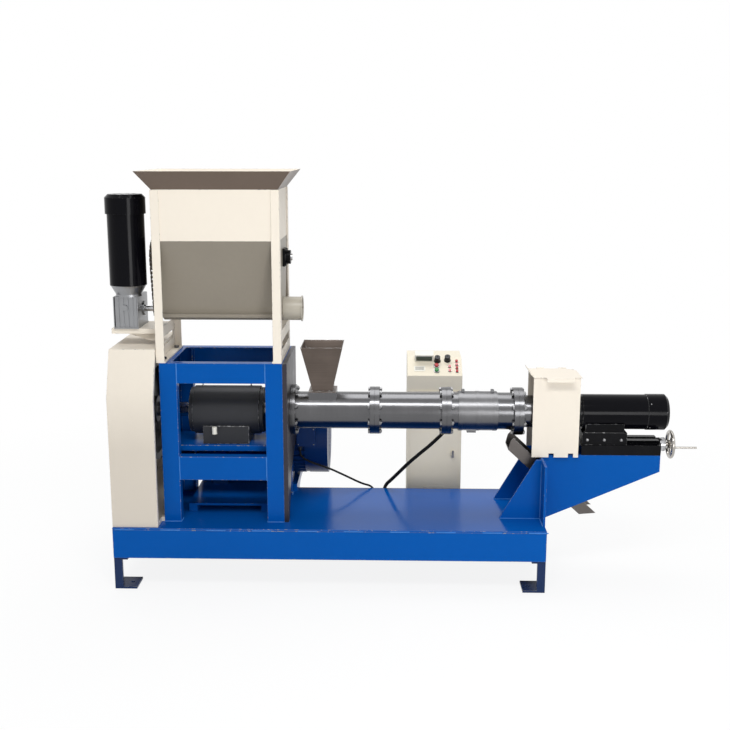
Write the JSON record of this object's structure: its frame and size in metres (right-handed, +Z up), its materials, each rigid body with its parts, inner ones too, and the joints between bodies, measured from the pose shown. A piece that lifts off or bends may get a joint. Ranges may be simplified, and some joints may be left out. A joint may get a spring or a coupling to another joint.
{
  "type": "dog food extruder",
  "caption": "Dry food extruder: belt driven screw in a steel barrel, hopper with auger feeder, rotary cutter on a slide, discharge chute and control cabinet.",
  "frame": {"origin": "centre of the floor bolt pattern, at floor level under the middle of the base frame", "axes": "+X runs along the barrel towards the die, +Y to the back where the motor and the cabinet stand, +Z up"},
  "size_m": [2.1448, 0.912, 1.498],
  "materials": {
    "blue_paint": "gloss blue enamel",
    "dark_blue_paint": "dark blue enamel",
    "cream_paint": "satin cream enamel",
    "cabinet_paint": "fine textured beige enamel",
    "motor_paint": "satin blue enamel",
    "black_paint": "gloss black enamel",
    "plate_steel": "dark machined plate",
    "barrel_steel": "turned and polished",
    "band_steel": "rolled bright band",
    "funnel_steel": "brushed stainless sheet",
    "chute_steel": "brushed sheet",
    "grey_sheet": "matt grey sheet",
    "shaft_steel": "ground",
    "bolt_steel": "zinc plated",
    "bearing_steel": "ground bearing steel",
    "chain_steel": "oiled",
    "grey_cast": "dark painted casting",
    "black_cast": "black painted casting",
    "pulley_iron": "turned grooves",
    "cast_aluminium": "shot blasted die casting",
    "wheel_chrome": "polished",
    "belt_rubber": "cloth covered",
    "cable_rubber": "smooth jacket",
    "conduit_plastic": "corrugated tube",
    "gland_plastic": "moulded",
    "white_plastic": "moulded",
    "black_plastic": "moulded",
    "red_plastic": "moulded",
    "green_plastic": "moulded"
  },
  "bodies": {
    "root": {"base_frame": "blue_paint", "base_deck": "blue_paint", "floor_feet": "dark_blue_paint", "tower_frame": "blue_paint", "face_plate": "plate_steel", "bearing_housing": "grey_cast", "housing_covers": "grey_cast", "bearing_rings": "bearing_steel", "oil_sight": "white_plastic", "barrel_feed_section": "barrel_steel", "barrel_middle_section": "barrel_steel", "barrel_die_section": "barrel_steel", "flange_bolts": "bolt_steel", "die_adaptor": "barrel_steel", "die_plate": "barrel_steel", "heater_band": "band_steel", "feed_funnel": "funnel_steel", "belt_guard": "cream_paint", "motor_housing": "motor_paint", "motor_mount": "blue_paint", "drive_belts": "belt_rubber", "hopper_shell": "cream_paint", "hopper_cone": "grey_sheet", "hopper_frame": "cream_paint", "feed_trough": "grey_sheet", "feeder_shelf": "cream_paint", "feeder_gearbox": "cast_aluminium", "feeder_motor": "black_paint", "flange_bearings": "black_cast", "drive_chain": "chain_steel", "support_bracket": "blue_paint", "discharge_chute": "chute_steel", "slide_bed": "black_cast", "cabinet_shell": "cabinet_paint", "panel_parts": "black_plastic", "cable_glands": "gland_plastic", "heater_conduit": "conduit_plastic", "motor_cable": "cable_rubber", "frame_bolts": "bolt_steel"},
    "main_rotor": {"main_shaft": "shaft_steel", "extruder_screw": "shaft_steel", "large_pulley": "pulley_iron"},
    "motor_armature": {"motor_rotor": "shaft_steel", "small_pulley": "pulley_iron"},
    "auger": {"feed_auger": "shaft_steel", "auger_sprocket": "chain_steel"},
    "stirrer": {"agitator": "shaft_steel", "agitator_sprocket": "chain_steel"},
    "carriage": {"slide_saddle": "black_cast", "cutter_motor": "black_paint", "cutter_guard": "cream_paint"},
    "cutter": {"cutter_head": "shaft_steel"},
    "lid": {"guard_lid": "cream_paint"},
    "wheel": {"handwheel": "wheel_chrome"},
    "crank": {"crank_grip": "wheel_chrome"},
    "door": {"cabinet_door": "cabinet_paint"},
    "start": {"start_button": "green_plastic"},
    "stop": {"stop_button": "red_plastic"},
    "knob_left": {"speed_knob_left": "black_plastic"},
    "knob_right": {"speed_knob_right": "black_plastic"}
  },
  "joints": [
    {"name": "main_shaft_spin", "type": "hinge", "parent": "root", "child": "main_rotor", "pos_m": [-0.4, 0.01, 0.615], "axis": [1, 0, 0], "continuous": true},
    {"name": "motor_spin", "type": "hinge", "parent": "root", "child": "motor_armature", "pos_m": [-0.4, 0.345, 0.425], "axis": [1, 0, 0], "continuous": true},
    {"name": "auger_spin", "type": "hinge", "parent": "root", "child": "auger", "pos_m": [-0.4, -0.0045, 1], "axis": [1, 0, 0], "continuous": true, "deforming": ["drive_chain"]},
    {"name": "agitator_spin", "type": "hinge", "parent": "root", "child": "stirrer", "pos_m": [-0.4, -0.0045, 1.18806], "axis": [1, 0, 0], "continuous": true},
    {"name": "handwheel_turn", "type": "hinge", "parent": "root", "child": "wheel", "pos_m": [1.264, 0.01, 0.491], "axis": [-1, 0, 0], "range_deg": [0, 9900]},
    {"name": "carriage_slide", "type": "slide", "parent": "root", "child": "carriage", "axis": [1, 0, 0], "range_m": [0, 0.11]},
    {"name": "crank_grip_spin", "type": "hinge", "parent": "wheel", "child": "crank", "pos_m": [1.3, -0.037, 0.491], "axis": [1, 0, 0], "continuous": true},
    {"name": "cutter_spin", "type": "hinge", "parent": "carriage", "child": "cutter", "pos_m": [0.85, 0.01, 0.615], "axis": [1, 0, 0], "continuous": true},
    {"name": "lid_hinge", "type": "hinge", "parent": "carriage", "child": "lid", "pos_m": [0.82, 0.096, 0.7585], "axis": [-1, 0, 0], "range_deg": [0, 100]},
    {"name": "door_hinge", "type": "hinge", "parent": "root", "child": "door", "pos_m": [0.294, 0.4247, 0.33], "axis": [0, 0, -1], "range_deg": [0, 55]},
    {"name": "start_press", "type": "slide", "parent": "root", "child": "start", "axis": [0, 0.534, -0.8455], "range_m": [0, 0.003], "stiffness_N_per_m": 400, "springref_m": -0.002},
    {"name": "stop_press", "type": "slide", "parent": "root", "child": "stop", "axis": [0, 0.534, -0.8455], "range_m": [0, 0.003], "stiffness_N_per_m": 400, "springref_m": -0.002},
    {"name": "knob_left_turn", "type": "hinge", "parent": "root", "child": "knob_left", "pos_m": [0.413, 0.5044, 0.70299], "axis": [0, -0.534, 0.8455], "range_deg": [-140, 140]},
    {"name": "knob_right_turn", "type": "hinge", "parent": "root", "child": "knob_right", "pos_m": [0.455, 0.50779, 0.70513], "axis": [0, -0.534, 0.8455], "range_deg": [-140, 140]}
  ],
  "couplings": [
    {"joint": "motor_spin", "follows": "main_shaft_spin", "ratio": 2.6761},
    {"joint": "agitator_spin", "follows": "auger_spin", "ratio": 0.5},
    {"joint": "handwheel_turn", "follows": "carriage_slide", "rad_per_m": 1570.8}
  ]
}
